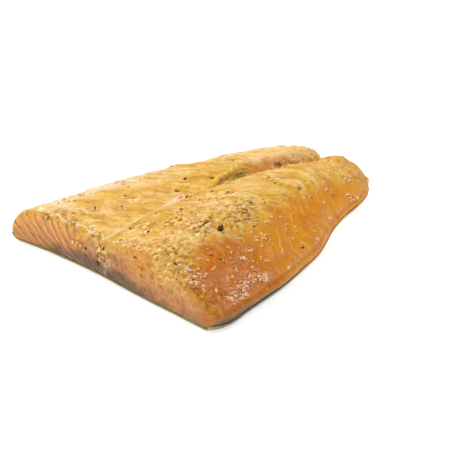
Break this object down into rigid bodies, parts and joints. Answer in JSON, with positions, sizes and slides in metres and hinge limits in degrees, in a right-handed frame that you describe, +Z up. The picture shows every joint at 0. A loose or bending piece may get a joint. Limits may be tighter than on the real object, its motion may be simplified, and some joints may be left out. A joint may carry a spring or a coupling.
{
  "type": "salmon fillet",
  "caption": "Raw marinated salmon fillet lying skin down: thick square-cut end, two muscles with a seam between them, tapering to the tail.",
  "frame": {"origin": "middle of the fillet's footprint, on the surface that it lies on", "axes": "+X from the cut face to the tail, +Y from the back edge to the belly edge, +Z up, away from the skin"},
  "size_m": [0.206, 0.1706, 0.0334],
  "materials": {
    "flesh": "wet, glossy orange flesh under a thin yellow-green marinade",
    "skin": "damp silver-grey scaled skin"
  },
  "bodies": {
    "root": {"flesh": "flesh", "skin": "skin"}
  },
  "joints": []
}
